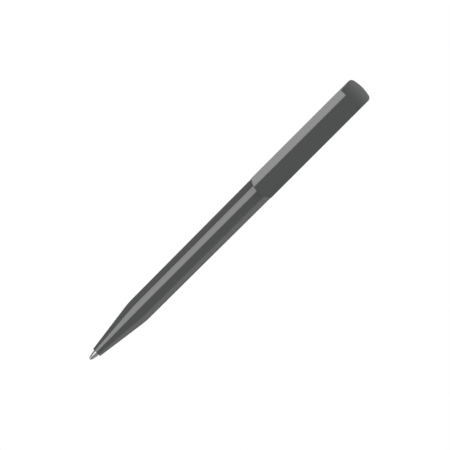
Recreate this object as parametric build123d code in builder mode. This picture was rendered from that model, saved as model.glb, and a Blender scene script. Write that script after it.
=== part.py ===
from build123d import *
import os
from math import cos, pi, sin, sqrt

# Twist-action ballpoint pen with a wide bevelled clip, drawn with its point out.
# The pen lies along X on the side of its clip: the point is at -X, the clip faces -Y and +Z is up.
# Stations along the pen are measured from the end of the writing ball. All sizes are in millimetres.

# Lengths of the outside, from the point to the top
point_reach = 3.43
nose_length = 20.87
barrel_length = 63.8
cap_length = 45.6
crown_height = 6.3

# Diameters of the outside
nose_end_diameter = 3.63
shoulder_diameter = 9.33
cap_diameter = 10.18
mouth_step = 0.13

# Soft edges of the outside
shoulder_round = 30.0
nose_rim_chamfer = 0.3
nose_rim_wall_share = 0.75
mouth_chamfer = 0.15
cap_rim_chamfer = 0.15

# Crown: a shallow dome whose front runs down into the clip
dome_rise = 0.85
crown_corner_round = 1.6
crown_front_setback = 2.9
crown_edge_round = 0.4
crown_wall = 1.6
plug_length = 6.0
plug_wall = 0.9
plug_gap = 4.9

# Clip: a plate as wide as the cap, with a flat middle and a bevel along each side
clip_gap = 1.0
clip_thickness = 1.8
clip_facet_width = 4.5
clip_bevel_drop = 0.76
clip_overhang = 0.1
clip_end_rise = 1.9
clip_edge_round = 0.2
clip_ridge_round = 1.5
nub_gap = 0.3
nub_length = 3.0
nub_width = 5.0
nub_setback = 2.6

# Walls and bores of the body
cap_wall = 1.0
mouth_wall = 1.0
insert_step = 0.5
chamber_length = 13.5
seat_depth = 9.57

# Coupling in the barrel's mouth, with the neck that the cap turns on
insert_length = 12.0
neck_length = 11.0
groove_setback = 2.5
friction_ring_width = 1.2
friction_ring_depth = 0.4
friction_ring_chamfer = 0.15

# Twist mechanism
travel = 6.0
cam_wall = 0.8
guide_wall = 0.6
guide_tail = 0.8
pin_diameter = 1.5
pin_chamfer = 0.15
pin_setback = 2.0
slider_tail = 3.0
refill_socket_depth = 4.0
slider_chamfer = 0.3
ring_thickness = 0.6
ring_depth = 0.3
ring_height = 0.85
ring_mouth_width = 2.4

# Refill
refill_diameter = 3.0
tube_wall = 0.4
ball_diameter = 1.0
ball_exposure = 0.3
point_lip_diameter = 1.3
point_cone_length = 2.5
point_shank_diameter = 2.35
point_stem_diameter = 1.6
point_stem_length = 4.0
point_channel_diameter = 0.4
holder_diameter = 2.9
holder_channel_diameter = 0.8
holder_plug_length = 5.0
collar_thickness = 1.2
ink_length = 52.0
grease_length = 6.0

# Return spring between the nose and the refill's collar
spring_length = 14.0
spring_wire_diameter = 0.4
spring_wire_sides = 6
spring_turns = 6
arcs_per_turn = 2

# Clearances
running_clearance = 0.05
axial_clearance = 0.15
seam_clearance = 0.15
slot_clearance = 0.15
pin_end_clearance = 0.15
ball_clearance = 0.02
ring_clearance = 0.03
spring_clearance = 0.2
holder_clearance = 0.5
overrun = 2.0

# Radii, from the outside in
cap_radius = cap_diameter / 2
cap_bore_radius = cap_radius - cap_wall
neck_radius = cap_bore_radius - running_clearance
cam_bore_radius = cap_bore_radius - cam_wall
guide_radius = cam_bore_radius - running_clearance
guide_bore_radius = guide_radius - guide_wall
slider_radius = guide_bore_radius - running_clearance
mouth_radius = cap_radius - mouth_step
insert_radius = mouth_radius - mouth_wall
barrel_bore_radius = insert_radius - insert_step
refill_radius = refill_diameter / 2
tube_bore_radius = refill_radius - tube_wall
holder_radius = holder_diameter / 2
shank_radius = point_shank_diameter / 2
nose_end_radius = nose_end_diameter / 2
nose_bore_radius = shank_radius + running_clearance
spring_radius = holder_radius + spring_clearance + spring_wire_diameter / 2
collar_radius = spring_radius + spring_wire_diameter / 2
chamber_radius = collar_radius + spring_clearance
ball_radius = ball_diameter / 2

# Reach of the clip's faces from the pen's axis
clip_back = cap_radius + clip_gap
clip_front = clip_back + clip_thickness
clip_shoulder = clip_front - clip_bevel_drop

# Stations along the pen: the body, the mechanism that fills the cap, then the refill that it carries
nose_end = point_reach
spring_seat = nose_end + seat_depth
shoulder = nose_end + nose_length
seam = shoulder + barrel_length
insert_start = seam - insert_length
neck_end = seam + neck_length
crown_start = seam + cap_length
plug_start = crown_start - plug_length
top = crown_start + crown_height
dome_rim = top - dome_rise
guide_end = plug_start - plug_gap
ring_end = guide_end - guide_tail
ring_start = ring_end - ring_thickness
cam_start = neck_end + axial_clearance
cam_end = ring_start - axial_clearance
pin_station = (cam_start + cam_end - travel) / 2
refill_end = pin_station - pin_setback
holder_start = spring_seat + holder_clearance
collar_start = spring_seat + spring_length
collar_end = collar_start + collar_thickness
holder_end = collar_end + holder_plug_length
ink_end = holder_end + ink_length
grease_end = ink_end + grease_length
clip_side_end = seam - clip_overhang
clip_end = clip_side_end - clip_end_rise

# The origin lies under the middle of the pen's box, on the surface that it rests on
tip_x = -top / 2
axis_y = (clip_front - cap_radius) / 2
axis_z = cap_radius
tip = Vector(tip_x, axis_y, axis_z)
pen_axis = Axis(tip, (1, 0, 0))
pen_plane = Plane(origin=tip, x_dir=(1, 0, 0), z_dir=(0, 0, 1))
front_plane = Plane(origin=tip, x_dir=(1, 0, 0), z_dir=(0, -1, 0))
clip_root_plane = Plane(origin=tip + Vector(crown_start, 0, 0), x_dir=(0, -1, 0), z_dir=(-1, 0, 0))

os.makedirs("parts", exist_ok=True)


def save(piece, label):
    """Label a finished piece and write it."""
    piece.part.label = label
    export_step(piece.part, f"parts/{label}.step")


def turned(outline):
    """Turn an outline of (station, radius) points about the pen's axis."""
    with BuildPart() as piece:
        with BuildSketch(pen_plane):
            with BuildLine():
                Polyline(*outline, close=True)
            make_face()
        revolve(axis=pen_axis)
    return piece


# Barrel: slightly tapered body and conical nose, bored for the point, the spring and the coupling
chamber_end = spring_seat + chamber_length
rim_chamfer = min(nose_rim_chamfer, nose_rim_wall_share * (nose_end_radius - nose_bore_radius))
nose_rim = (nose_end, nose_end_radius)
shoulder_rim = (shoulder, shoulder_diameter / 2)
mouth_rim = (seam, mouth_radius)
with BuildPart() as barrel:
    with BuildSketch(pen_plane) as barrel_profile:
        with BuildLine():
            Polyline(
                (nose_end, nose_bore_radius),
                nose_rim,
                shoulder_rim,
                mouth_rim,
                (seam, insert_radius),
                (insert_start, insert_radius),
                (insert_start, barrel_bore_radius),
                (chamber_end, barrel_bore_radius),
                (chamber_end, chamber_radius),
                (spring_seat, chamber_radius),
                (spring_seat, nose_bore_radius),
                close=True,
            )
        make_face()
        corners = barrel_profile.vertices()
        fillet(corners.sort_by_distance(shoulder_rim)[0], shoulder_round)
        corners = barrel_profile.vertices()
        chamfer(corners.sort_by_distance(nose_rim)[0], rim_chamfer)
        corners = barrel_profile.vertices()
        chamfer(corners.sort_by_distance(mouth_rim)[0], mouth_chamfer)
    revolve(axis=pen_axis)
save(barrel, "barrel")

# Coupling: pressed into the barrel's mouth, with a grooved neck for the cap
groove_start = seam + groove_setback
groove_end = groove_start + friction_ring_width
groove_radius = neck_radius - friction_ring_depth
coupling = turned(
    [
        (insert_start, guide_radius),
        (insert_start, insert_radius),
        (seam, insert_radius),
        (seam, neck_radius),
        (groove_start, neck_radius),
        (groove_start, groove_radius),
        (groove_end, groove_radius),
        (groove_end, neck_radius),
        (neck_end, neck_radius),
        (neck_end, guide_radius),
    ]
)
save(coupling, "coupling")

# Friction ring: sits in the neck's groove and drags on the cap's bore
friction_ring_radius = cap_bore_radius - ring_clearance
with BuildPart() as friction_ring:
    with BuildSketch(pen_plane) as ring_profile:
        with BuildLine():
            Polyline(
                (groove_start, groove_radius),
                (groove_start, friction_ring_radius),
                (groove_end, friction_ring_radius),
                (groove_end, groove_radius),
                close=True,
            )
        make_face()
        chamfer(ring_profile.vertices().group_by(Axis.Y)[-1], friction_ring_chamfer)
    revolve(axis=pen_axis)
save(friction_ring, "friction_ring")

# Guide tube: held in the coupling, with two straight slots for the cross pin
slot_width = pin_diameter + 2 * slot_clearance
ring_groove_radius = guide_radius - ring_depth
with BuildPart() as guide_tube:
    with BuildSketch(pen_plane):
        with BuildLine():
            Polyline(
                (insert_start, guide_bore_radius),
                (insert_start, guide_radius),
                (ring_start, guide_radius),
                (ring_start, ring_groove_radius),
                (ring_end, ring_groove_radius),
                (ring_end, guide_radius),
                (guide_end, guide_radius),
                (guide_end, guide_bore_radius),
                close=True,
            )
        make_face()
    revolve(axis=pen_axis)
    with BuildSketch(pen_plane):
        with Locations((pin_station + travel / 2, 0)):
            SlotCenterToCenter(travel, slot_width)
    extrude(amount=guide_radius + overrun, both=True, mode=Mode.SUBTRACT)
save(guide_tube, "guide_tube")

# Retaining ring: open spring ring in the guide tube's groove, behind the cam sleeve
ring_outer_radius = ring_groove_radius + ring_height
with BuildPart() as retaining_ring:
    with BuildSketch(pen_plane):
        with BuildLine():
            Polyline(
                (ring_start, ring_groove_radius),
                (ring_start, ring_outer_radius),
                (ring_end, ring_outer_radius),
                (ring_end, ring_groove_radius),
                close=True,
            )
        make_face()
    revolve(axis=pen_axis)
    with BuildSketch(front_plane):
        with Locations(((ring_start + ring_end) / 2, 0)):
            Rectangle(ring_thickness + overrun, ring_mouth_width)
    extrude(amount=ring_outer_radius + overrun, mode=Mode.SUBTRACT)
save(retaining_ring, "retaining_ring")

# Helical slot of the cam: half a turn carries the pin through its travel
cam_mid_radius = (cam_bore_radius + cap_bore_radius) / 2
slot_start = tip + Vector(pin_station, 0, 0)
with BuildPart() as helical_slot:
    with BuildLine() as slot_path:
        Helix(2 * travel, travel, cam_mid_radius, center=slot_start, direction=(1, 0, 0), lefthand=True)
    slot_line = slot_path.line
    outward = (slot_line @ 0) - slot_start
    with BuildSketch(Plane(origin=slot_line @ 0, x_dir=outward, z_dir=slot_line % 0)):
        Rectangle(cam_wall + overrun, slot_width)
    sweep(path=slot_line, is_frenet=True)

# Cam sleeve: fixed in the cap, with two helical slots half a turn apart
with BuildPart() as cam_sleeve:
    with BuildSketch(pen_plane):
        with BuildLine():
            Polyline(
                (cam_start, cam_bore_radius),
                (cam_start, cap_bore_radius),
                (cam_end, cap_bore_radius),
                (cam_end, cam_bore_radius),
                close=True,
            )
        make_face()
    revolve(axis=pen_axis)
    add(helical_slot.part, mode=Mode.SUBTRACT)
    add(helical_slot.part.rotate(pen_axis, 180), mode=Mode.SUBTRACT)
    with BuildSketch(pen_plane):
        with Locations((pin_station, 0), (pin_station + travel, 0)):
            Circle(slot_width / 2)
    extrude(amount=cap_bore_radius + overrun, both=True, mode=Mode.SUBTRACT)
save(cam_sleeve, "cam_sleeve")

# Slider: carries the refill's end and the cross pin along the guide tube
slider_start = refill_end - refill_socket_depth
slider_end = pin_station + slider_tail
with BuildPart() as slider:
    with BuildSketch(pen_plane):
        with BuildLine():
            Polyline(
                (slider_start, refill_radius),
                (slider_start, slider_radius - slider_chamfer),
                (slider_start + slider_chamfer, slider_radius),
                (slider_end - slider_chamfer, slider_radius),
                (slider_end, slider_radius - slider_chamfer),
                (slider_end, 0),
                (refill_end, 0),
                (refill_end, refill_radius),
                close=True,
            )
        make_face()
    revolve(axis=pen_axis)
    with BuildSketch(pen_plane):
        with Locations((pin_station, 0)):
            Circle(pin_diameter / 2)
    extrude(amount=slider_radius + overrun, both=True, mode=Mode.SUBTRACT)
save(slider, "slider")

# Cross pin: joins the slider to the straight and the helical slots
with BuildPart() as cross_pin:
    with BuildSketch(pen_plane):
        with Locations((pin_station, 0)):
            Circle(pin_diameter / 2)
    extrude(amount=cap_bore_radius - pin_end_clearance, both=True)
    chamfer(cross_pin.edges().filter_by(GeomType.CIRCLE), pin_chamfer)
save(cross_pin, "cross_pin")

# Return spring: fine wire, drawn six-sided, on arcs that follow a helix half a turn at a time
spring_pitch = (spring_length - spring_wire_diameter) / spring_turns
spring_start = spring_seat + spring_wire_diameter / 2


def spring_point(turn):
    """Point of the wire's middle line after a number of turns."""
    angle = 2 * pi * turn
    station = spring_start + spring_pitch * turn
    return tip + Vector(station, spring_radius * cos(angle), spring_radius * sin(angle))


def spring_direction(turn):
    """Direction of the wire's middle line after a number of turns."""
    angle = 2 * pi * turn
    lead = spring_pitch / (2 * pi)
    return Vector(lead, -spring_radius * sin(angle), spring_radius * cos(angle)).normalized()


with BuildPart() as return_spring:
    with BuildLine() as spring_path:
        for step in range(spring_turns * arcs_per_turn):
            first = step / arcs_per_turn
            last = (step + 1) / arcs_per_turn
            departure = spring_direction(first)
            arrival = spring_direction(last)
            span = spring_point(last) - spring_point(first)
            along = span.dot(departure + arrival)
            turning = 2 * (1 - departure.dot(arrival))
            reach = (sqrt(along**2 + turning * span.dot(span)) - along) / turning
            leave = spring_point(first) + departure * reach
            enter = spring_point(last) - arrival * reach
            middle = (leave + enter) / 2
            TangentArc(spring_point(first), middle, tangent=departure)
            TangentArc(middle, spring_point(last), tangent=enter - leave)
    spring_line = spring_path.wire()
    with BuildSketch(Plane(origin=spring_line @ 0, z_dir=spring_line % 0)):
        RegularPolygon(spring_wire_diameter / 2, spring_wire_sides)
    sweep(path=spring_line, clean=False)
save(return_spring, "return_spring")
samples_per_turn = 24
wire_points = [spring_point(step / samples_per_turn) for step in range(spring_turns * samples_per_turn + 1)]
neighbours = samples_per_turn // 2
spacing = min(
    (later - earlier).length
    for index, earlier in enumerate(wire_points)
    for later in wire_points[index + neighbours :]
)
print("least gap between the spring's turns:", round(spacing - spring_wire_diameter, 2), "mm")

# Writing ball
with BuildPart() as writing_ball:
    with BuildSketch(pen_plane):
        with BuildLine():
            CenterArc((ball_radius, 0), ball_radius, 0, 180)
            Line((ball_diameter, 0), (0, 0))
        make_face()
    revolve(axis=pen_axis)
save(writing_ball, "writing_ball")

# Point: cone with a socket for the ball, a shank in the nose and a stem in the holder
socket_radius = ball_radius + ball_clearance
channel_radius = point_channel_diameter / 2
lip_bore_radius = sqrt(socket_radius**2 - (ball_radius - ball_exposure) ** 2)
channel_start = ball_radius + sqrt(socket_radius**2 - channel_radius**2)
shank_start = ball_exposure + point_cone_length
stem_end = holder_start + point_stem_length
with BuildPart() as point:
    with BuildSketch(pen_plane):
        with BuildLine():
            Polyline(
                (ball_exposure, lip_bore_radius),
                (ball_exposure, point_lip_diameter / 2),
                (shank_start, shank_radius),
                (holder_start, shank_radius),
                (holder_start, point_stem_diameter / 2),
                (stem_end, point_stem_diameter / 2),
                (stem_end, channel_radius),
                (channel_start, channel_radius),
            )
            ThreePointArc(
                (channel_start, channel_radius),
                (ball_radius, socket_radius),
                (ball_exposure, lip_bore_radius),
            )
        make_face()
    revolve(axis=pen_axis)
save(point, "point")

# Tip holder: joins the point to the ink tube and carries the spring's collar
holder_channel_radius = holder_channel_diameter / 2
tip_holder = turned(
    [
        (holder_start, point_stem_diameter / 2),
        (holder_start, holder_radius),
        (collar_start, holder_radius),
        (collar_start, collar_radius),
        (collar_end, collar_radius),
        (collar_end, tube_bore_radius),
        (holder_end, tube_bore_radius),
        (holder_end, holder_channel_radius),
        (stem_end, holder_channel_radius),
        (stem_end, point_stem_diameter / 2),
    ]
)
save(tip_holder, "tip_holder")

# Ink tube, ink and follower grease
refill_tube = turned(
    [
        (collar_end, tube_bore_radius),
        (collar_end, refill_radius),
        (refill_end, refill_radius),
        (refill_end, tube_bore_radius),
    ]
)
save(refill_tube, "refill_tube")
ink = turned(
    [
        (holder_end, 0),
        (holder_end, tube_bore_radius),
        (ink_end, tube_bore_radius),
        (ink_end, 0),
    ]
)
save(ink, "ink")
grease_plug = turned(
    [
        (ink_end, 0),
        (ink_end, tube_bore_radius),
        (grease_end, tube_bore_radius),
        (grease_end, 0),
    ]
)
save(grease_plug, "grease_plug")

# Cap tube: upper body, turning on the coupling's neck
cap_start = seam + seam_clearance
with BuildPart() as cap_tube:
    with BuildSketch(pen_plane) as cap_profile:
        with BuildLine():
            Polyline(
                (cap_start, cap_bore_radius),
                (cap_start, cap_radius),
                (crown_start, cap_radius),
                (crown_start, cap_bore_radius),
                close=True,
            )
        make_face()
        corners = cap_profile.vertices()
        chamfer(corners.sort_by_distance((cap_start, cap_radius))[0], cap_rim_chamfer)
    revolve(axis=pen_axis)
save(cap_tube, "cap_tube")

# Crown: turned dome at the back, drawn forward to the clip's face, with a hollow plug in the cap
with BuildPart() as crown:
    with BuildSketch(pen_plane) as dome_profile:
        with BuildLine():
            Polyline((top, 0), (crown_start, 0), (crown_start, cap_radius), (dome_rim, cap_radius))
            TangentArc((top, 0), (dome_rim, cap_radius), tangent=Vector(0, 1, 0))
        make_face()
        corners = dome_profile.vertices()
        fillet(corners.sort_by_distance((dome_rim, cap_radius))[0], crown_corner_round)
    revolve(axis=pen_axis)
    with BuildSketch(front_plane) as front_profile:
        with BuildLine():
            Polyline(
                (dome_rim, -cap_radius),
                (crown_start, -cap_radius),
                (crown_start, cap_radius),
                (dome_rim, cap_radius),
            )
            ThreePointArc((dome_rim, cap_radius), (top, 0), (dome_rim, -cap_radius))
        make_face()
        for side in (-cap_radius, cap_radius):
            corners = front_profile.vertices()
            fillet(corners.sort_by_distance((dome_rim, side))[0], crown_corner_round)
    extrude(amount=clip_front)
    with BuildSketch(pen_plane):
        with BuildLine():
            brow = TangentArc(
                (crown_start, -clip_front),
                (top, crown_front_setback - clip_front),
                tangent=Vector(1, 0, 0),
            )
            Polyline(
                brow @ 1,
                (top + overrun, crown_front_setback - clip_front),
                (top + overrun, -clip_front - overrun),
                (crown_start, -clip_front - overrun),
                brow @ 0,
            )
        make_face()
    extrude(amount=cap_radius + overrun, both=True, mode=Mode.SUBTRACT)
    brow_face = crown.faces().sort_by(Axis.Y)[0]
    brow_root = brow_face.edges().sort_by(Axis.X)[0]
    fillet(brow_face.edges() - [brow_root], crown_edge_round)
    with BuildSketch(Plane.YZ.offset(tip_x + plug_start)):
        with Locations((axis_y, axis_z)):
            Circle(cap_bore_radius)
    extrude(amount=plug_length)
    with BuildSketch(Plane.YZ.offset(tip_x + plug_start)):
        with Locations((axis_y, axis_z)):
            Circle(cap_bore_radius - plug_wall)
    extrude(amount=plug_length + crown_height - dome_rise - crown_wall, mode=Mode.SUBTRACT)
save(crown, "crown")

# Clip: bevelled plate with a rounded end and a nub over the cap
half_facet = clip_facet_width / 2
nub_middle = cap_start + nub_setback
with BuildPart() as clip:
    with BuildSketch(clip_root_plane) as clip_profile:
        with BuildLine():
            Polyline(
                (clip_back, -cap_radius),
                (clip_shoulder, -cap_radius),
                (clip_front, -half_facet),
                (clip_front, half_facet),
                (clip_shoulder, cap_radius),
                (clip_back, cap_radius),
                close=True,
            )
        make_face()
        for side in (-half_facet, half_facet):
            corners = clip_profile.vertices()
            fillet(corners.sort_by_distance((clip_front, side))[0], clip_ridge_round)
    extrude(amount=crown_start - clip_end)
    with BuildSketch(front_plane):
        with BuildLine():
            ThreePointArc((clip_side_end, cap_radius), (clip_end, 0), (clip_side_end, -cap_radius))
            Polyline(
                (clip_side_end, -cap_radius),
                (crown_start, -cap_radius),
                (crown_start, cap_radius),
                (clip_side_end, cap_radius),
            )
        make_face()
    extrude(amount=clip_front + overrun, mode=Mode.INTERSECT)
    with BuildSketch(pen_plane):
        with BuildLine():
            ThreePointArc(
                (nub_middle - nub_length / 2, -clip_back),
                (nub_middle, -cap_radius - nub_gap),
                (nub_middle + nub_length / 2, -clip_back),
            )
            Line((nub_middle + nub_length / 2, -clip_back), (nub_middle - nub_length / 2, -clip_back))
        make_face()
    extrude(amount=nub_width / 2, both=True)
    facets = clip.faces().filter_by(lambda face: face.normal_at().Y < -cos(pi / 4))
    end_edges = facets.edges().filter_by(lambda edge: edge.bounding_box().max.X < tip_x + seam)
    facet_edges = facets.edges().filter_by(Axis.X).sort_by(Axis.Z)
    fillet(end_edges + [facet_edges[0], facet_edges[-1]], clip_edge_round)
save(clip, "clip")
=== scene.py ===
import logging
import math
from dataclasses import dataclass
from enum import Enum

import bmesh
import bpy
from mathutils import Matrix, Vector


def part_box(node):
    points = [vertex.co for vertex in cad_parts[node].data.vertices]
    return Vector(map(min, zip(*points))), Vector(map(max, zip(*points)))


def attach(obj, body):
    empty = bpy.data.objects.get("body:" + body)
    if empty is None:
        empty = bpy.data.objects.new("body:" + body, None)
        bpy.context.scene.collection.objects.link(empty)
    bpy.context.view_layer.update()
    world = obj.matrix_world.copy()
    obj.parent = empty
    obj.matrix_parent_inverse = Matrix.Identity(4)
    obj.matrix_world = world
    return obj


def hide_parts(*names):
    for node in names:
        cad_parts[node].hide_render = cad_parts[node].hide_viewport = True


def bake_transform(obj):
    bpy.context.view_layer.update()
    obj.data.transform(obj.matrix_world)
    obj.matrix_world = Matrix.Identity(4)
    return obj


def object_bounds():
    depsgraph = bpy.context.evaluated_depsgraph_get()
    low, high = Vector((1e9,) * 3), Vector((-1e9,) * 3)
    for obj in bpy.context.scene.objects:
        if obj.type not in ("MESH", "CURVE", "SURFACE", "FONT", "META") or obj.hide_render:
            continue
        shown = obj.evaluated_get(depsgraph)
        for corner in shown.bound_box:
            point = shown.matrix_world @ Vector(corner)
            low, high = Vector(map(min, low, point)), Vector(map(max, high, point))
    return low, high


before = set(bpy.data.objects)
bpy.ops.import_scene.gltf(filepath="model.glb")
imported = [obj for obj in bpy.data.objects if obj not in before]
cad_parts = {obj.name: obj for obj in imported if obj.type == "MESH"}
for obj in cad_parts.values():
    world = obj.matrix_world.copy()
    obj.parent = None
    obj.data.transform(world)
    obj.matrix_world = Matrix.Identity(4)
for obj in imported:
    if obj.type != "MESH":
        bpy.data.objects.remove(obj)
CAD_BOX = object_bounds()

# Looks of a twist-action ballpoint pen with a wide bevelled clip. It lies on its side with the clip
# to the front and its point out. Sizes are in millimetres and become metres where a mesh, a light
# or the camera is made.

log = logging.getLogger("pen")

MM = 0.001
# Sides of a turned piece
TURNED_SIDES = 160
# Angle of one step of a rounded corner, the fewest steps that it gets, and the distance from its
# ends to the points that support it
ARC_STEP = math.radians(6.0)
FEWEST_ARC_STEPS = 3
SUPPORT = 0.08
# Edges that turn by more than this stay sharp
SHARP_ANGLE = math.radians(30.0)
# How far light sinks into a milky plastic
SCATTER_DEPTH = 0.4
# Octaves of noise in a moulded skin and in finer marks
SKIN_DETAIL = 3.0
FINE_DETAIL = 2.0
# Attribute that holds the length along the spring's wire
WIRE_ATTRIBUTE = "wire_way"
# Blender's wave texture runs through one band every tenth of pi at a scale of one
WAVE_TURN = math.pi / 10
WHITE = "#ffffff"
# Sockets that Blender's Mix and Store Named Attribute nodes tell apart only by number
MIX_FACTOR = 0
MIX_FLOAT_A, MIX_FLOAT_B, MIX_FLOAT_RESULT = 2, 3, 0
MIX_COLOUR_A, MIX_COLOUR_B, MIX_COLOUR_RESULT = 6, 7, 2
STORED_VECTOR = 3

OutlinePoint = tuple[float, float]


class Body(Enum):
    """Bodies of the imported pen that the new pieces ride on."""

    BARREL = "barrel"
    CAP = "cap"
    REFILL = "refill"
    BALL = "ball"


class Slot(Enum):
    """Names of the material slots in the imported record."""

    ANTHRACITE_ABS = "anthracite_abs"
    SPRING_STEEL = "spring_steel"
    NICKEL_SILVER = "nickel_silver"
    CARBIDE_BALL = "carbide_ball"


def linear(hex_colour: str) -> tuple[float, float, float, float]:
    """Turn an sRGB hex colour into linear light.

    Args:
        hex_colour: Six hex digits after a hash sign.

    Returns:
        Red, green, blue and an alpha of one.
    """
    parts = [int(hex_colour[start : start + 2], 16) / 255 for start in (1, 3, 5)]
    red, green, blue = (p / 12.92 if p <= 0.04045 else ((p + 0.055) / 1.055) ** 2.4 for p in parts)
    return red, green, blue, 1.0


def add_node(
    tree: bpy.types.NodeTree,
    kind: str,
    settings: dict[str, object] | None = None,
    inputs: dict[str | int, object] | None = None,
) -> bpy.types.Node:
    """Add a node with its settings, its values and its links.

    Args:
        tree: Tree that gets the node.
        kind: Blender's name for the kind of node.
        settings: Properties of the node itself.
        inputs: Value of each input, or the output socket that feeds it.

    Returns:
        The new node.
    """
    node = tree.nodes.new(kind)
    for name, value in (settings or {}).items():
        setattr(node, name, value)
    for name, value in (inputs or {}).items():
        if isinstance(value, bpy.types.NodeSocket):
            tree.links.new(value, node.inputs[name])
        else:
            node.inputs[name].default_value = value
    return node


def per_metre(size: float) -> float:
    """Scale of a noise whose features are about a size in millimetres."""
    return 1.0 / (size * MM)


@dataclass(frozen=True)
class Finish:
    """Surface of one real material: its colour, its gloss and the fine marks of how it was made.

    The size and the height of the marks are in millimetres.
    """

    name: str
    colour: str
    roughness: float
    roughness_spread: float
    tint_spread: float
    mark_size: float
    mark_height: float = 0.0
    ior: float = 1.5
    metallic: float = 0.0
    transmission: float = 0.0
    subsurface: float = 0.0

    def shade(self, brightness: float) -> tuple[float, float, float, float]:
        """Colour in linear light, times a brightness."""
        red, green, blue, alpha = linear(self.colour)
        return red * brightness, green * brightness, blue * brightness, alpha

    def marks(self, tree: bpy.types.NodeTree) -> bpy.types.NodeSocket:
        """Pattern that the way of making left in the surface.

        Args:
            tree: Tree of the material.

        Returns:
            Output that runs from zero to one.
        """
        place = add_node(tree, "ShaderNodeTexCoord")
        ripple = add_node(
            tree,
            "ShaderNodeTexNoise",
            {},
            {
                "Vector": place.outputs["Object"],
                "Scale": per_metre(self.mark_size),
                "Detail": SKIN_DETAIL,
            },
        )
        return ripple.outputs["Fac"]

    def build(self) -> bpy.types.Material:
        """Build the material.

        Returns:
            A material whose colour, roughness and relief follow the marks.
        """
        material = bpy.data.materials.new(self.name)
        material.use_nodes = True
        tree = material.node_tree
        tree.nodes.clear()
        marks = self.marks(tree)
        tint = add_node(
            tree,
            "ShaderNodeMix",
            {"data_type": "RGBA"},
            {
                MIX_FACTOR: marks,
                MIX_COLOUR_A: self.shade(1.0 - self.tint_spread),
                MIX_COLOUR_B: self.shade(1.0 + self.tint_spread),
            },
        )
        gloss = add_node(
            tree,
            "ShaderNodeMapRange",
            {},
            {
                "Value": marks,
                "To Min": self.roughness - self.roughness_spread,
                "To Max": self.roughness + self.roughness_spread,
            },
        )
        surface: dict[str | int, object] = {
            "Base Color": tint.outputs[MIX_COLOUR_RESULT],
            "Roughness": gloss.outputs["Result"],
            "Metallic": self.metallic,
            "IOR": self.ior,
            "Transmission Weight": self.transmission,
            "Subsurface Weight": self.subsurface,
            "Subsurface Scale": SCATTER_DEPTH * MM,
        }
        if self.mark_height > 0.0:
            relief = add_node(
                tree, "ShaderNodeBump", {}, {"Height": marks, "Distance": self.mark_height * MM}
            )
            surface["Normal"] = relief.outputs["Normal"]
        shader = add_node(tree, "ShaderNodeBsdfPrincipled", {}, surface)
        add_node(tree, "ShaderNodeOutputMaterial", {}, {"Surface": shader.outputs["BSDF"]})
        return material


@dataclass(frozen=True)
class TurnedFinish(Finish):
    """Metal with the rings that a lathe tool leaves round the pen's axis."""

    waver: float = 0.6

    def marks(self, tree: bpy.types.NodeTree) -> bpy.types.NodeSocket:
        """Rings one mark size apart, with a slight waver.

        Args:
            tree: Tree of the material.

        Returns:
            Output that runs from zero to one.
        """
        place = add_node(tree, "ShaderNodeTexCoord")
        rings = add_node(
            tree,
            "ShaderNodeTexWave",
            {"wave_type": "BANDS", "bands_direction": "X"},
            {
                "Vector": place.outputs["Object"],
                "Scale": per_metre(self.mark_size) * WAVE_TURN,
                "Distortion": self.waver,
                "Detail": FINE_DETAIL,
            },
        )
        return rings.outputs["Fac"]


@dataclass(frozen=True)
class DrawnFinish(Finish):
    """Surface with streaks along the way in which a die drew or squeezed it out."""

    streak_length: float = 4.0

    def way(self, tree: bpy.types.NodeTree) -> bpy.types.NodeSocket:
        """Place on the surface, with the streaks along X."""
        return add_node(tree, "ShaderNodeTexCoord").outputs["Object"]

    def marks(self, tree: bpy.types.NodeTree) -> bpy.types.NodeSocket:
        """Streaks one mark size wide.

        Args:
            tree: Tree of the material.

        Returns:
            Output that runs from zero to one.
        """
        stretch = self.mark_size / self.streak_length
        drawn_out = add_node(
            tree,
            "ShaderNodeMapping",
            {},
            {"Vector": self.way(tree), "Scale": (stretch, 1.0, 1.0)},
        )
        streaks = add_node(
            tree,
            "ShaderNodeTexNoise",
            {},
            {
                "Vector": drawn_out.outputs["Vector"],
                "Scale": per_metre(self.mark_size),
                "Detail": FINE_DETAIL,
            },
        )
        return streaks.outputs["Fac"]


@dataclass(frozen=True)
class WireFinish(DrawnFinish):
    """Wire with streaks that follow it round the coil."""

    def way(self, tree: bpy.types.NodeTree) -> bpy.types.NodeSocket:
        """Length along the wire in metres, from the piece's own attribute."""
        wire = add_node(tree, "ShaderNodeAttribute", {"attribute_name": WIRE_ATTRIBUTE})
        return wire.outputs["Vector"]


@dataclass(frozen=True)
class SpeckledFinish(Finish):
    """Dull surface with the fine speckle of a filled rubber."""

    def marks(self, tree: bpy.types.NodeTree) -> bpy.types.NodeSocket:
        """Specks about one mark size across.

        Args:
            tree: Tree of the material.

        Returns:
            Output that grows from zero at the middle of a speck.
        """
        place = add_node(tree, "ShaderNodeTexCoord")
        specks = add_node(
            tree,
            "ShaderNodeTexVoronoi",
            {},
            {"Vector": place.outputs["Object"], "Scale": per_metre(self.mark_size)},
        )
        return specks.outputs["Distance"]


# ABS moulded in a polished tool: a deep, even gloss with sharp reflections and the faintest ripple
# of the cooled skin. The index is raised from the 1.52 of bare ABS to match the strength of the
# pen's reflections.
ANTHRACITE_ABS = Finish(
    "abs_polished_moulding",
    "#3b3d3c",
    roughness=0.05,
    roughness_spread=0.015,
    tint_spread=0.02,
    mark_size=1.2,
    mark_height=0.001,
    ior=1.8,
)
# Nickel silver turned and crimped: grey and bright, with tool rings drawn coarser than real so that
# they show
NICKEL_SILVER = TurnedFinish(
    "nickel_silver_turned",
    "#979898",
    roughness=0.1,
    roughness_spread=0.03,
    tint_spread=0.06,
    mark_size=0.15,
    mark_height=0.004,
    metallic=1.0,
)
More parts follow.
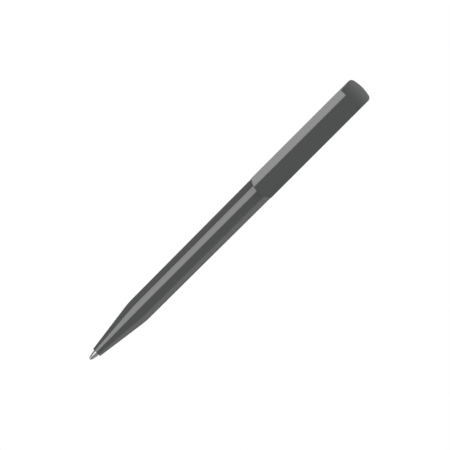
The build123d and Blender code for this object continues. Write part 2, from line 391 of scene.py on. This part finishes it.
# Tungsten carbide lapped to a sphere: a dark grey mirror with the faintest cloud of pores
CARBIDE = Finish(
    "tungsten_carbide_lapped",
    "#84868a",
    roughness=0.1,
    roughness_spread=0.03,
    tint_spread=0.04,
    mark_size=0.1,
    mark_height=0.0005,
    metallic=1.0,
)
# Acetal moulded in its own white: waxy, with light that sinks in a little
WHITE_ACETAL = Finish(
    "acetal_moulded",
    "#e4e4de",
    roughness=0.38,
    roughness_spread=0.06,
    tint_spread=0.03,
    mark_size=0.5,
    mark_height=0.008,
    ior=1.48,
    subsurface=0.1,
)
# Nitrile rubber moulded and left untreated: dull black with a soft sheen and a fine speckle
NITRILE = SpeckledFinish(
    "nitrile_rubber_moulded",
    "#1c1c1d",
    roughness=0.65,
    roughness_spread=0.08,
    tint_spread=0.1,
    mark_size=0.2,
    mark_height=0.01,
    ior=1.52,
)
# Spring wire pulled through a die: bright steel with streaks that run along the wire, drawn wider
# than real so that they show
SPRING_WIRE = WireFinish(
    "spring_steel_drawn",
    "#b4b6b9",
    roughness=0.25,
    roughness_spread=0.07,
    tint_spread=0.06,
    mark_size=0.08,
    mark_height=0.002,
    metallic=1.0,
)
# Spring steel ground to size: satin grey with fine scratches
GROUND_STEEL = DrawnFinish(
    "spring_steel_ground",
    "#aaacae",
    roughness=0.3,
    roughness_spread=0.07,
    tint_spread=0.05,
    mark_size=0.1,
    mark_height=0.002,
    metallic=1.0,
)
# Polypropylene moulded in its natural colour: milky and soft edged
HOLDER_POLYPROPYLENE = Finish(
    "polypropylene_moulded",
    "#d8dad5",
    roughness=0.35,
    roughness_spread=0.05,
    tint_spread=0.03,
    mark_size=0.6,
    mark_height=0.01,
    ior=1.49,
    subsurface=0.15,
)
# Polypropylene squeezed out as a tube: milky and see-through, with faint lines along its length
TUBE_POLYPROPYLENE = DrawnFinish(
    "polypropylene_extruded",
    "#dfe4e4",
    roughness=0.3,
    roughness_spread=0.05,
    tint_spread=0.03,
    mark_size=0.3,
    mark_height=0.004,
    ior=1.49,
    transmission=0.55,
    streak_length=12.0,
)
# Oil-based ink as a thick paste: deep blue and wet, with slow clouds
BLUE_INK = Finish(
    "oil_ink_blue",
    "#16225e",
    roughness=0.12,
    roughness_spread=0.03,
    tint_spread=0.08,
    mark_size=1.5,
    ior=1.48,
)
# Clear gel behind the ink: pale amber and wet
GREASE = Finish(
    "follower_gel",
    "#c9be92",
    roughness=0.18,
    roughness_spread=0.04,
    tint_spread=0.04,
    mark_size=1.0,
    ior=1.47,
    transmission=0.4,
)


@dataclass(frozen=True)
class PenAxis:
    """The pen's long axis in the frame, with stations counted from the ball's end."""

    tip: float
    y: float
    z: float

    @classmethod
    def from_frame(cls) -> "PenAxis":
        """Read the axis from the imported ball.

        Returns:
            The axis through the ball's middle.
        """
        low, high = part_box("writing_ball")
        _, middle_y, middle_z = (low + high) / 2 / MM
        return cls(low.x / MM, middle_y, middle_z)

    def place(self, station: float, across: float = 0.0, up: float = 0.0) -> Vector:
        """Point at a station, off the axis by a distance in Y and in Z, in metres."""
        return Vector((self.tip + station, self.y + across, self.z + up)) * MM

    def span(self, node: str) -> tuple[float, float]:
        """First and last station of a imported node."""
        low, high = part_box(node)
        return low.x / MM - self.tip, high.x / MM - self.tip


@dataclass(frozen=True)
class Corner:
    """Corner of a turned outline: a station, a radius and the round that softens it."""

    station: float
    radius: float
    softness: float = 0.0


def softened(corners: list[Corner]) -> list[OutlinePoint]:
    """Round the corners of a closed outline.

    Args:
        corners: Corners in order round the outline.

    Returns:
        Points of the outline, with arcs at the soft corners and a supporting point beside each arc.
    """
    points: list[OutlinePoint] = []
    for index, corner in enumerate(corners):
        here = Vector((corner.station, corner.radius))
        if corner.softness == 0.0:
            points.append((here.x, here.y))
            continue
        before = corners[index - 1]
        after = corners[(index + 1) % len(corners)]
        back = (Vector((before.station, before.radius)) - here).normalized()
        ahead = (Vector((after.station, after.radius)) - here).normalized()
        half = back.angle(ahead) / 2
        reach = corner.softness / math.tan(half)
        centre = here + (back + ahead).normalized() * corner.softness / math.sin(half)
        first = here + back * reach - centre
        turn = math.pi - 2 * half
        side = 1.0 if back.cross(ahead) < 0 else -1.0
        steps = max(FEWEST_ARC_STEPS, math.ceil(turn / ARC_STEP))
        start = here + back * (reach + SUPPORT)
        points.append((start.x, start.y))
        for step in range(steps + 1):
            spoke = first.copy()
            spoke.rotate(Matrix.Rotation(side * turn * step / steps, 2))
            points.append(tuple(centre + spoke))
        end = here + ahead * (reach + SUPPORT)
        points.append((end.x, end.y))
    return points


def mesh_object(
    name: str, mesh: bmesh.types.BMesh, material: bpy.types.Material
) -> bpy.types.Object:
    """Turn a bmesh into a smooth object with outward faces.

    Args:
        name: Name of the piece.
        mesh: Finished bmesh, which is freed.
        material: Material of the piece.

    Returns:
        The linked object, at the origin.
    """
    bmesh.ops.recalc_face_normals(mesh, faces=mesh.faces)
    data = bpy.data.meshes.new(name)
    mesh.to_mesh(data)
    mesh.free()
    data.materials.append(material)
    data.shade_smooth()
    data.set_sharp_from_angle(angle=SHARP_ANGLE)
    piece = bpy.data.objects.new(name, data)
    bpy.context.scene.collection.objects.link(piece)
    return piece


def turned(
    name: str, outline: list[OutlinePoint], axis: PenAxis, material: bpy.types.Material
) -> bpy.types.Object:
    """Turn a closed outline about the pen's axis.

    Args:
        name: Name of the piece.
        outline: Stations and radii in order round the outline.
        axis: The pen's axis.
        material: Material of the piece.

    Returns:
        The turned piece.
    """
    mesh = bmesh.new()
    rings: list[list[bmesh.types.BMVert]] = []
    for station, radius in outline:
        sides = 1 if radius <= 0.0 else TURNED_SIDES
        angles = [2 * math.pi * side / sides for side in range(sides)]
        spots = [axis.place(station, radius * math.cos(a), radius * math.sin(a)) for a in angles]
        rings.append([mesh.verts.new(spot) for spot in spots])
    for index, ring in enumerate(rings):
        following = rings[(index + 1) % len(rings)]
        if len(ring) == 1 and len(following) == 1:
            continue
        for side in range(TURNED_SIDES):
            beside = (side + 1) % TURNED_SIDES
            corners = [ring[side % len(ring)], ring[beside % len(ring)]]
            corners += [following[beside % len(following)], following[side % len(following)]]
            mesh.faces.new(list(dict.fromkeys(corners)))
    return mesh_object(name, mesh, material)


def stand_for(piece: bpy.types.Object, node: str, body: Body) -> None:
    """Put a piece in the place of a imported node.

    Args:
        piece: The finished piece.
        node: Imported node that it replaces.
        body: Body that carries it.
    """
    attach(piece, body.value)
    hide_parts(node)
    log.info("%s stands for %s on %s", piece.name, node, body.value)


def dress(nodes: tuple[str, ...], material: bpy.types.Material) -> None:
    """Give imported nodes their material.

    Args:
        nodes: Names of the nodes.
        material: Material that they get.
    """
    for node in nodes:
        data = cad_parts[node].data
        data.materials.clear()
        data.materials.append(material)
        log.info("%s dressed in %s", node, material.name)


@dataclass
class BarrelBody:
    """Lower body and conical nose, one glossy moulding."""

    axis: PenAxis
    nose_radius: float = 1.815
    nose_bore_radius: float = 1.225
    nose_length: float = 20.87
    shoulder_radius: float = 4.665
    shoulder_round: float = 30.0
    mouth_radius: float = 4.96
    insert_radius: float = 3.96
    insert_length: float = 12.0
    bore_radius: float = 3.46
    chamber_radius: float = 2.25
    seat_depth: float = 9.57
    chamber_length: float = 13.5
    rim_round: float = 0.25
    lip_round: float = 0.08
    mouth_round: float = 0.15

    def build(self, plastic: bpy.types.Material) -> bpy.types.Object:
        """Turn the barrel.

        Args:
            plastic: Material of the moulding.

        Returns:
            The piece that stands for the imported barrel.
        """
        nose, mouth = self.axis.span("barrel")
        shoulder = nose + self.nose_length
        seat = nose + self.seat_depth
        chamber_end = seat + self.chamber_length
        insert_start = mouth - self.insert_length
        outline = softened(
            [
                Corner(nose, self.nose_bore_radius, self.lip_round),
                Corner(nose, self.nose_radius, self.rim_round),
                Corner(shoulder, self.shoulder_radius, self.shoulder_round),
                Corner(mouth, self.mouth_radius, self.mouth_round),
                Corner(mouth, self.insert_radius),
                Corner(insert_start, self.insert_radius),
                Corner(insert_start, self.bore_radius),
                Corner(chamber_end, self.bore_radius),
                Corner(chamber_end, self.chamber_radius),
                Corner(seat, self.chamber_radius),
                Corner(seat, self.nose_bore_radius),
            ]
        )
        piece = turned("barrel_moulding", outline, self.axis, plastic)
        stand_for(piece, "barrel", Body.BARREL)
        return piece


@dataclass
class CapBody:
    """Upper body: the tube that turns, its closed crown and the wide clip."""

    axis: PenAxis
    radius: float = 5.09
    bore_radius: float = 4.09
    rim_round: float = 0.15
    joint_round: float = 0.06
    weld_distance: float = 0.0005

    def build(self, plastic: bpy.types.Material) -> list[bpy.types.Object]:
        """Turn the cap tube, weld the crown and dress the clip.

        Args:
            plastic: Material of the mouldings.

        Returns:
            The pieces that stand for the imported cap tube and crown.
        """
        start, end = self.axis.span("cap_tube")
        outline = softened(
            [
                Corner(start, self.bore_radius),
                Corner(start, self.radius, self.rim_round),
                Corner(end, self.radius, self.joint_round),
                Corner(end, self.bore_radius),
            ]
        )
        tube = turned("cap_moulding", outline, self.axis, plastic)
        stand_for(tube, "cap_tube", Body.CAP)
        crown = self.welded_crown(plastic)
        stand_for(crown, "crown", Body.CAP)
        dress(("clip",), plastic)
        return [tube, crown]

    def welded_crown(self, plastic: bpy.types.Material) -> bpy.types.Object:
        """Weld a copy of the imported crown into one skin, which shades evenly over its middle.

        Args:
            plastic: Material of the moulding.

        Returns:
            The crown, with shading that follows its larger faces.
        """
        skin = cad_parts["crown"].data.copy()
        skin.attributes.remove(skin.attributes["custom_normal"])
        mesh = bmesh.new()
        mesh.from_mesh(skin)
        bpy.data.meshes.remove(skin)
        bmesh.ops.remove_doubles(mesh, verts=mesh.verts, dist=self.weld_distance * MM)
        piece = mesh_object("crown_moulding", mesh, plastic)
        shading = piece.modifiers.new("even_shading", "WEIGHTED_NORMAL")
        shading.keep_sharp = True
        return piece


@dataclass
class WritingPoint:
    """Metal point with a crimped lip, and the ball that turns in it."""

    axis: PenAxis
    ball_radius: float = 0.5
    ball_exposure: float = 0.3
    ball_clearance: float = 0.02
    ball_arcs: int = 24
    lip_radius: float = 0.65
    lip_land: float = 0.06
    crimp_length: float = 0.5
    crimp_rise: float = 0.03
    cone_length: float = 2.5
    shank_radius: float = 1.175
    shank_end: float = 13.5
    stem_radius: float = 0.8
    channel_radius: float = 0.2
    lip_round: float = 0.03
    shank_round: float = 0.25

    def build(
        self, silver: bpy.types.Material, carbide: bpy.types.Material
    ) -> list[bpy.types.Object]:
        """Turn the point and its ball.

        Args:
            silver: Material of the point.
            carbide: Material of the ball.

        Returns:
            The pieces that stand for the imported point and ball.
        """
        point = turned("point_turned", self.point_outline(), self.axis, silver)
        stand_for(point, "point", Body.REFILL)
        ball = turned("ball_lapped", self.ball_outline(), self.axis, carbide)
        stand_for(ball, "writing_ball", Body.BALL)
        return [point, ball]

    def point_outline(self) -> list[OutlinePoint]:
        """Outline of the point, from the lip round the shank and the stem to the ball's socket.

        Returns:
            Stations and radii of the closed outline.
        """
        _, stem_end = self.axis.span("point")
        lip = self.ball_exposure
        socket = self.ball_radius + self.ball_clearance
        lip_bore = math.sqrt(socket**2 - (self.ball_radius - lip) ** 2)
        channel_start = self.ball_radius + math.sqrt(socket**2 - self.channel_radius**2)
        slope = (self.shank_radius - self.lip_radius) / self.cone_length
        crimp = lip + self.crimp_length
        crimp_radius = self.lip_radius + slope * self.crimp_length
        outer = softened(
            [
                Corner(lip, lip_bore),
                Corner(lip, self.lip_radius - self.lip_round, self.lip_round),
                Corner(crimp, crimp_radius),
                Corner(crimp + self.lip_land, crimp_radius - self.crimp_rise),
                Corner(crimp + 2 * self.lip_land, crimp_radius + slope * self.lip_land),
                Corner(lip + self.cone_length, self.shank_radius, self.shank_round),
                Corner(self.shank_end, self.shank_radius),
                Corner(self.shank_end, self.stem_radius),
                Corner(stem_end, self.stem_radius),
                Corner(stem_end, self.channel_radius),
                Corner(channel_start, self.channel_radius),
            ]
        )
        wide = math.atan2(lip_bore, lip - self.ball_radius)
        narrow = math.atan2(self.channel_radius, channel_start - self.ball_radius)
        shares = [step / self.ball_arcs for step in range(1, self.ball_arcs)]
        angles = [narrow + (wide - narrow) * share for share in shares]
        cup = [(self.ball_radius + socket * math.cos(a), socket * math.sin(a)) for a in angles]
        return outer + cup

    def ball_outline(self) -> list[OutlinePoint]:
        """Half circle of the ball, from pole to pole.

        Returns:
            Stations and radii of the half circle.
        """
        radius = self.ball_radius
        angles = [math.pi * step / self.ball_arcs for step in range(self.ball_arcs + 1)]
        arc = [(radius * (1 - math.cos(a)), radius * math.sin(a)) for a in angles]
        return [(0.0, 0.0), *arc[1:-1], (2 * radius, 0.0)]


@dataclass
class ReturnSpring:
    """Coil spring between the nose's seat and the refill's collar, wound by a node tree."""

    axis: PenAxis
    turns: float = 6.0
    coil_radius: float = 1.85
    wire_radius: float = 0.2
    points_per_turn: int = 32
    wire_sides: int = 12

    def build(self, steel: bpy.types.Material) -> bpy.types.Object:
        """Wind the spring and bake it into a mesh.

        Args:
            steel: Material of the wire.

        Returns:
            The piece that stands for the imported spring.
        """
        start, end = self.axis.span("return_spring")
        carrier = bpy.data.objects.new("spring_carrier", bpy.data.meshes.new("spring_carrier"))
        bpy.context.scene.collection.objects.link(carrier)
        tree = self.winding_tree(steel)
        winding = carrier.modifiers.new("winding", "NODES")
        winding.node_group = tree
        sizes = {
            "Turns": self.turns,
            "Coil radius": self.coil_radius * MM,
            "Wire radius": self.wire_radius * MM,
            "Height": (end - start - 2 * self.wire_radius) * MM,
            "Seat": self.axis.place(start + self.wire_radius),
        }
        for item in tree.interface.items_tree:
            if item.name in sizes:
                winding[item.identifier] = sizes[item.name]
        evaluated = carrier.evaluated_get(bpy.context.evaluated_depsgraph_get())
        data = bpy.data.meshes.new_from_object(evaluated)
        data.name = "spring_coil"
        bpy.data.objects.remove(carrier)
        piece = bpy.data.objects.new("spring_coil", data)
        bpy.context.scene.collection.objects.link(piece)
        self.axis.place(start)
        self.axis.place(end)
        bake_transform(piece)
        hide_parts("return_spring")
        log.info("%s stands for return_spring between barrel and refill", piece.name)
        return piece

    def winding_tree(self, steel: bpy.types.Material) -> bpy.types.NodeTree:
        """Node tree that sweeps a round wire along a helix on the pen's axis.

        Args:
            steel: Material of the wire.

        Returns:
            The tree, with named inputs for its sizes.
        """
        tree = bpy.data.node_groups.new("spring_winding", "GeometryNodeTree")
        for name, kind in (
            ("Turns", "NodeSocketFloat"),
            ("Coil radius", "NodeSocketFloat"),
            ("Wire radius", "NodeSocketFloat"),
            ("Height", "NodeSocketFloat"),
            ("Seat", "NodeSocketVector"),
        ):
            tree.interface.new_socket(name, in_out="INPUT", socket_type=kind)
        tree.interface.new_socket("Geometry", in_out="OUTPUT", socket_type="NodeSocketGeometry")
        sizes = add_node(tree, "NodeGroupInput")
        helix = add_node(
            tree,
            "GeometryNodeCurveSpiral",
            {},
            {
                "Resolution": self.points_per_turn,
                "Rotations": sizes.outputs["Turns"],
                "Start Radius": sizes.outputs["Coil radius"],
                "End Radius": sizes.outputs["Coil radius"],
                "Height": sizes.outputs["Height"],
            },
        )
        wire = add_node(
            tree,
            "GeometryNodeCurvePrimitiveCircle",
            {},
            {"Resolution": self.wire_sides, "Radius": sizes.outputs["Wire radius"]},
        )
        along = add_node(tree, "GeometryNodeSplineParameter")
        way = add_node(tree, "ShaderNodeCombineXYZ", {}, {"X": along.outputs["Length"]})
        measured = add_node(
            tree,
            "GeometryNodeStoreNamedAttribute",
            {"data_type": "FLOAT_VECTOR"},
            {
                "Geometry": helix.outputs["Curve"],
                "Name": WIRE_ATTRIBUTE,
                STORED_VECTOR: way.outputs["Vector"],
            },
        )
        swept = add_node(
            tree,
            "GeometryNodeCurveToMesh",
            {},
            {
                "Curve": measured.outputs["Geometry"],
                "Profile Curve": wire.outputs["Curve"],
                "Fill Caps": True,
            },
        )
        laid = add_node(
            tree,
            "GeometryNodeTransform",
            {},
            {
                "Geometry": swept.outputs["Mesh"],
                "Translation": sizes.outputs["Seat"],
                "Rotation": (0.0, math.pi / 2, 0.0),
            },
        )
        smooth = add_node(
            tree,
            "GeometryNodeSetShadeSmooth",
            {},
            {"Geometry": laid.outputs["Geometry"]},
        )
        real = add_node(
            tree,
            "GeometryNodeRealizeInstances",
            {},
            {"Geometry": smooth.outputs["Geometry"]},
        )
        dressed = add_node(
            tree,
            "GeometryNodeSetMaterial",
            {},
            {"Geometry": real.outputs["Geometry"], "Material": steel},
        )
        add_node(tree, "NodeGroupOutput", {}, {"Geometry": dressed.outputs["Geometry"]})
        return tree


@dataclass
class TwistMechanism:
    """Inner pieces that turn the twist into travel, and the refill behind the point."""

    finishes: tuple[tuple[Finish, tuple[str, ...]], ...] = (
        (WHITE_ACETAL, ("coupling", "guide_tube", "cam_sleeve", "slider")),
        (GROUND_STEEL, ("retaining_ring", "cross_pin")),
        (NITRILE, ("friction_ring",)),
        (HOLDER_POLYPROPYLENE, ("tip_holder",)),
        (TUBE_POLYPROPYLENE, ("refill_tube",)),
        (BLUE_INK, ("ink",)),
        (GREASE, ("grease_plug",)),
    )

    def dress(self) -> None:
        """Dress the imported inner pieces."""
        for finish, nodes in self.finishes:
            dress(nodes, finish.build())


@dataclass(frozen=True)
class Softbox:
    """Rectangular softbox in front of the pen, whose lower and upper edge stand at two elevations.

    Its radiance is one where it is as bright as a white surface in even light. It either lights
    surfaces or only shows in their gloss.
    """

    name: str
    low_deg: float
    high_deg: float
    width: float
    radiance: float
    diffuse: bool
    distance: float = 800.0

    def build(self, target: Vector) -> None:
        """Hang the softbox.

        Args:
            target: Point that it faces.
        """
        middle = math.radians((self.low_deg + self.high_deg) / 2)
        half = math.radians((self.high_deg - self.low_deg) / 2)
        lamp = bpy.data.lights.new(self.name, "AREA")
        lamp.shape = "RECTANGLE"
        lamp.size = self.width * MM
        lamp.size_y = 2 * self.distance * math.tan(half) * MM
        lamp.energy = self.radiance * math.pi * lamp.size * lamp.size_y
        towards = Vector((0.0, -math.cos(middle), math.sin(middle)))
        box = bpy.data.objects.new(self.name, lamp)
        box.location = target + towards * self.distance * MM
        box.rotation_euler = towards.to_track_quat("Z", "Y").to_euler()
        box.visible_camera = False
        box.visible_diffuse = self.diffuse
        box.visible_glossy = not self.diffuse
        bpy.context.scene.collection.objects.link(box)


# The sheen draws the light strip along the pen, its core lights up the clip's bevel, and the fill
# lifts all colours
SOFTBOXES = (
    Softbox(
        "softbox_sheen", low_deg=7.8, high_deg=63.0, width=1500.0, radiance=2.03, diffuse=False
    ),
    Softbox(
        "softbox_core", low_deg=27.0, high_deg=33.0, width=1500.0, radiance=0.45, diffuse=False
    ),
    Softbox("softbox_fill", low_deg=7.8, high_deg=63.0, width=2800.0, radiance=0.45, diffuse=True),
)


@dataclass
class Studio:
    """Pale floor, white surroundings, the softboxes and the camera."""

    axis: PenAxis
    floor_radius: float = 4000.0
    floor_sides: int = 96
    floor_drop: float = 0.03
    floor_colour: str = "#f2f2f0"
    floor_lift: float = 0.21
    floor_grain: float = 40.0
    floor_roughness: tuple[float, float] = (0.6, 0.7)
    sky_strength: float = 0.85
    backdrop_strength: float = 1.0
    front_glow: float = 0.56
    back_dimming: float = 0.6
    under_glow: float = 0.46
    under_depths: tuple[float, float] = (0.5, 0.97)
    under_sides: tuple[float, float] = (-0.45, -0.2)
    end_glow: float = 0.58
    photo_pixels: float = 450.0
    photo_pen_pixels: float = 385.0
    photo_middle_pixel: tuple[float, float] = (226.06, 223.19)
    photo_roll_deg: float = 44.97
    camera_distance: float = 900.0

    def build(self) -> None:
        """Set up the floor, the light and the camera."""
        self.build_world()
        self.build_floor()
        for softbox in SOFTBOXES:
            softbox.build(self.axis.place(-self.axis.tip))
        self.build_camera()
        bpy.context.scene.view_settings.view_transform = "Standard"

    def seen_rays(self, tree: bpy.types.NodeTree) -> bpy.types.NodeSocket:
        """Socket that is one for camera, glossy and transmission rays.

        Args:
            tree: Tree of the floor's material.

        Returns:
            Output to use as a factor.
        """
        path = add_node(tree, "ShaderNodeLightPath")
        mirrored = add_node(
            tree,
            "ShaderNodeMath",
            {"operation": "MAXIMUM"},
            {0: path.outputs["Is Camera Ray"], 1: path.outputs["Is Glossy Ray"]},
        )
        seen = add_node(
            tree,
            "ShaderNodeMath",
            {"operation": "MAXIMUM"},
            {0: mirrored.outputs["Value"], 1: path.outputs["Is Transmission Ray"]},
        )
        return seen.outputs["Value"]

    def build_world(self) -> None:
        """White surroundings that light the pen evenly and show graded in its gloss."""
        world = bpy.data.worlds.new("white_surroundings")
        world.use_nodes = True
        tree = world.node_tree
        tree.nodes.clear()
        path = add_node(tree, "ShaderNodeLightPath")
        mirrored = add_node(
            tree,
            "ShaderNodeMix",
            {"data_type": "FLOAT"},
            {
                MIX_FACTOR: path.outputs["Is Glossy Ray"],
                MIX_FLOAT_A: self.sky_strength,
                MIX_FLOAT_B: self.mirrored_sky(tree),
            },
        )
        plain = add_node(
            tree,
            "ShaderNodeMath",
            {"operation": "MAXIMUM"},
            {0: path.outputs["Is Camera Ray"], 1: path.outputs["Is Transmission Ray"]},
        )
        strength = add_node(
            tree,
            "ShaderNodeMix",
            {"data_type": "FLOAT"},
            {
                MIX_FACTOR: plain.outputs["Value"],
                MIX_FLOAT_A: mirrored.outputs[MIX_FLOAT_RESULT],
                MIX_FLOAT_B: self.backdrop_strength,
            },
        )
        sky = add_node(
            tree,
            "ShaderNodeBackground",
            {},
            {"Color": linear(WHITE), "Strength": strength.outputs[MIX_FLOAT_RESULT]},
        )
        add_node(tree, "ShaderNodeOutputWorld", {}, {"Surface": sky.outputs["Background"]})
        bpy.context.scene.world = world

    def mirrored_sky(self, tree: bpy.types.NodeTree) -> bpy.types.NodeSocket:
        """Brightness that gloss mirrors.

        It is pale grey in front of the pen, dimmer behind, and brighter below and past the top end.

        Args:
            tree: Tree of the world.

        Returns:
            Output to use as a strength.
        """
        place = add_node(tree, "ShaderNodeTexCoord")
        way = add_node(tree, "ShaderNodeSeparateXYZ", {}, {0: place.outputs["Generated"]})
        behind = add_node(
            tree,
            "ShaderNodeMapRange",
            {},
            {
                "Value": way.outputs["Y"],
                "To Min": self.front_glow,
                "To Max": self.front_glow * (1.0 - self.back_dimming),
            },
        )
        shallow, deep = self.under_depths
        below = add_node(
            tree,
            "ShaderNodeMapRange",
            {"interpolation_type": "SMOOTHSTEP"},
            {
                "Value": way.outputs["Z"],
                "From Min": -shallow,
                "From Max": -deep,
                "To Max": self.under_glow,
            },
        )
        near, far = self.under_sides
        inward = add_node(
            tree,
            "ShaderNodeMapRange",
            {"interpolation_type": "SMOOTHSTEP"},
            {"Value": way.outputs["Y"], "From Min": near, "From Max": far},
        )
        lower = add_node(
            tree,
            "ShaderNodeMath",
            {"operation": "MULTIPLY_ADD"},
            {0: below.outputs["Result"], 1: inward.outputs["Result"], 2: behind.outputs["Result"]},
        )
        ahead = add_node(
            tree,
            "ShaderNodeMath",
            {"operation": "MAXIMUM"},
            {0: way.outputs["X"], 1: 0.0},
        )
        squared = add_node(
            tree,
            "ShaderNodeMath",
            {"operation": "MULTIPLY"},
            {0: ahead.outputs["Value"], 1: ahead.outputs["Value"]},
        )
        total = add_node(
            tree,
            "ShaderNodeMath",
            {"operation": "MULTIPLY_ADD"},
            {0: squared.outputs["Value"], 1: self.end_glow, 2: lower.outputs["Value"]},
        )
        return total.outputs["Value"]

    def build_floor(self) -> None:
        """Pale floor just under the pen, which keeps the pen's shadow."""
        mesh = bmesh.new()
        lowest = Vector((0.0, 0.0, -self.floor_drop * MM))
        bmesh.ops.create_circle(
            mesh,
            cap_ends=True,
            segments=self.floor_sides,
            radius=self.floor_radius * MM,
            matrix=Matrix.Translation(lowest),
        )
        material = bpy.data.materials.new("floor_pale_matt")
        material.use_nodes = True
        tree = material.node_tree
        tree.nodes.clear()
        place = add_node(tree, "ShaderNodeTexCoord")
        grain = add_node(
            tree,
            "ShaderNodeTexNoise",
            {},
            {
                "Vector": place.outputs["Object"],
                "Scale": per_metre(self.floor_grain),
                "Detail": FINE_DETAIL,
            },
        )
        smoothest, roughest = self.floor_roughness
        gloss = add_node(
            tree,
            "ShaderNodeMapRange",
            {},
            {"Value": grain.outputs["Fac"], "To Min": smoothest, "To Max": roughest},
        )
        lift = add_node(
            tree,
            "ShaderNodeMath",
            {"operation": "MULTIPLY"},
            {0: self.seen_rays(tree), 1: self.floor_lift},
        )
        shader = add_node(
            tree,
            "ShaderNodeBsdfPrincipled",
            {},
            {
                "Base Color": linear(self.floor_colour),
                "Roughness": gloss.outputs["Result"],
                "Specular IOR Level": 0.0,
                "Emission Color": linear(WHITE),
                "Emission Strength": lift.outputs["Value"],
            },
        )
        add_node(tree, "ShaderNodeOutputMaterial", {}, {"Surface": shader.outputs["BSDF"]})
        data = bpy.data.meshes.new("floor")
        mesh.to_mesh(data)
        mesh.free()
        data.materials.append(material)
        floor = bpy.data.objects.new("floor", data)
        floor.visible_diffuse = False
        floor.visible_glossy = False
        bpy.context.scene.collection.objects.link(floor)

    def build_camera(self) -> None:
        """Camera that faces the clip, rolled so that the pen rises to the right."""
        pen_length = (CAD_BOX[1].x - CAD_BOX[0].x) / MM
        per_pixel = pen_length / self.photo_pen_pixels
        roll = math.radians(self.photo_roll_deg)
        right = Vector((math.cos(roll), 0.0, -math.sin(roll)))
        up = Vector((math.sin(roll), 0.0, math.cos(roll)))
        back = Vector((0.0, -1.0, 0.0))
        column, row = self.photo_middle_pixel
        beside = (self.photo_pixels / 2 - column) * per_pixel
        above = (row - self.photo_pixels / 2) * per_pixel
        lens = bpy.data.cameras.new("photo_view")
        lens.type = "ORTHO"
        lens.ortho_scale = self.photo_pixels * per_pixel * MM
        camera = bpy.data.objects.new("photo_view", lens)
        middle = self.axis.place(-self.axis.tip)
        place = middle + (right * beside + up * above + back * self.camera_distance) * MM
        turn = Matrix((right, up, back)).transposed().to_4x4()
        camera.matrix_world = Matrix.Translation(place) @ turn
        bpy.context.scene.collection.objects.link(camera)
        bpy.context.scene.camera = camera


def main() -> None:
    """Build the pen's looks in order and report each piece."""
    logging.basicConfig(level=logging.INFO, format="%(name)s: %(message)s")
    axis = PenAxis.from_frame()
    plastic = ANTHRACITE_ABS.build()
    BarrelBody(axis).build(plastic)
    CapBody(axis).build(plastic)
    WritingPoint(axis).build(NICKEL_SILVER.build(), CARBIDE.build())
    ReturnSpring(axis).build(SPRING_WIRE.build())
    TwistMechanism().dress()
    Studio(axis).build()


if __name__ == "__main__":
    main()
